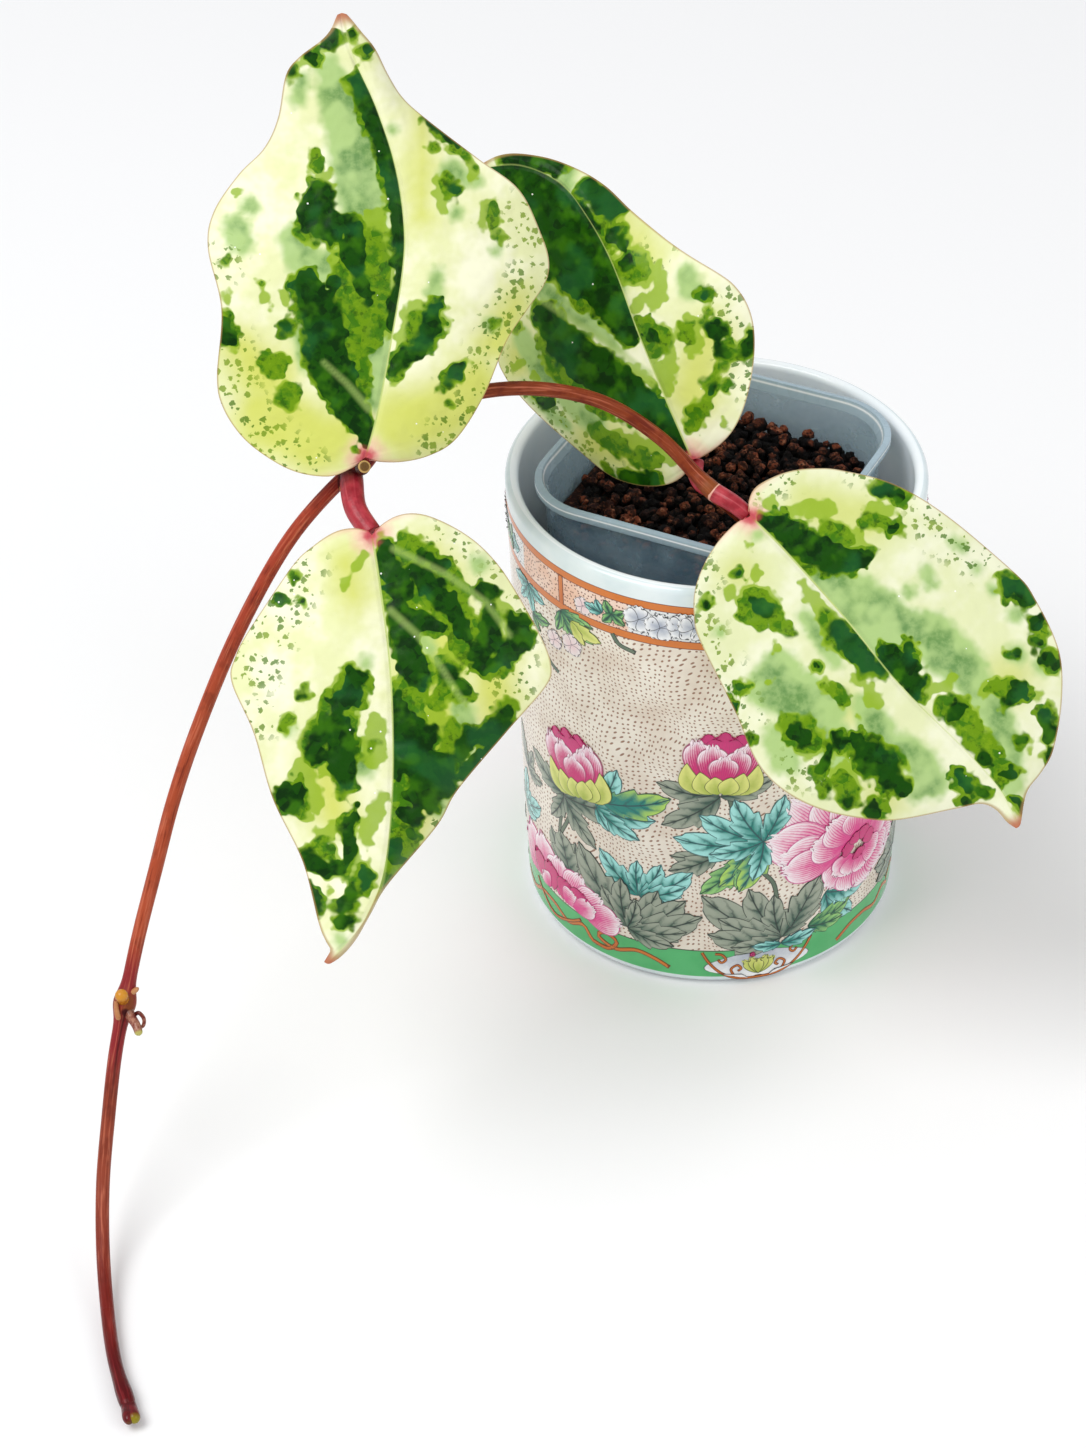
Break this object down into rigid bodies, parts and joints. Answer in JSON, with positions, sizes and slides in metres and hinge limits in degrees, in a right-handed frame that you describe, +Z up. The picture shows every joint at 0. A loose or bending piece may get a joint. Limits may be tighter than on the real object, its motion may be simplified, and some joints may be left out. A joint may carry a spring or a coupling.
{
  "type": "potted variegated hoya plant",
  "caption": "Trailing hoya with broad marbled cream and green leaves, growing in granules in a clear rounded-square pot set in a decorated porcelain pot.",
  "frame": {"origin": "centre of the porcelain pot's flat underside, on the pot's axis", "axes": "+Z up along the pot's axis, -Y towards the side that the vine trails to and most leaves face, +X to the right seen from there"},
  "size_m": [0.264, 0.2797, 0.2865],
  "materials": {
    "porcelain": "gloss",
    "clear_plastic": "satin",
    "granules": "matte",
    "stem": "satin",
    "petiole": "satin",
    "blade": "satin",
    "bud": "satin"
  },
  "bodies": {
    "root": {"cachepot": "porcelain", "inner_pot": "clear_plastic", "substrate": "granules", "vine": "stem", "petiole_1": "petiole", "petiole_2": "petiole", "petiole_3": "petiole", "petiole_4": "petiole", "leaf_1": "blade", "leaf_2": "blade", "leaf_3": "blade", "leaf_4": "blade", "node_bud": "bud", "young_stalk": "bud", "tip_leaves": "bud"}
  },
  "joints": []
}
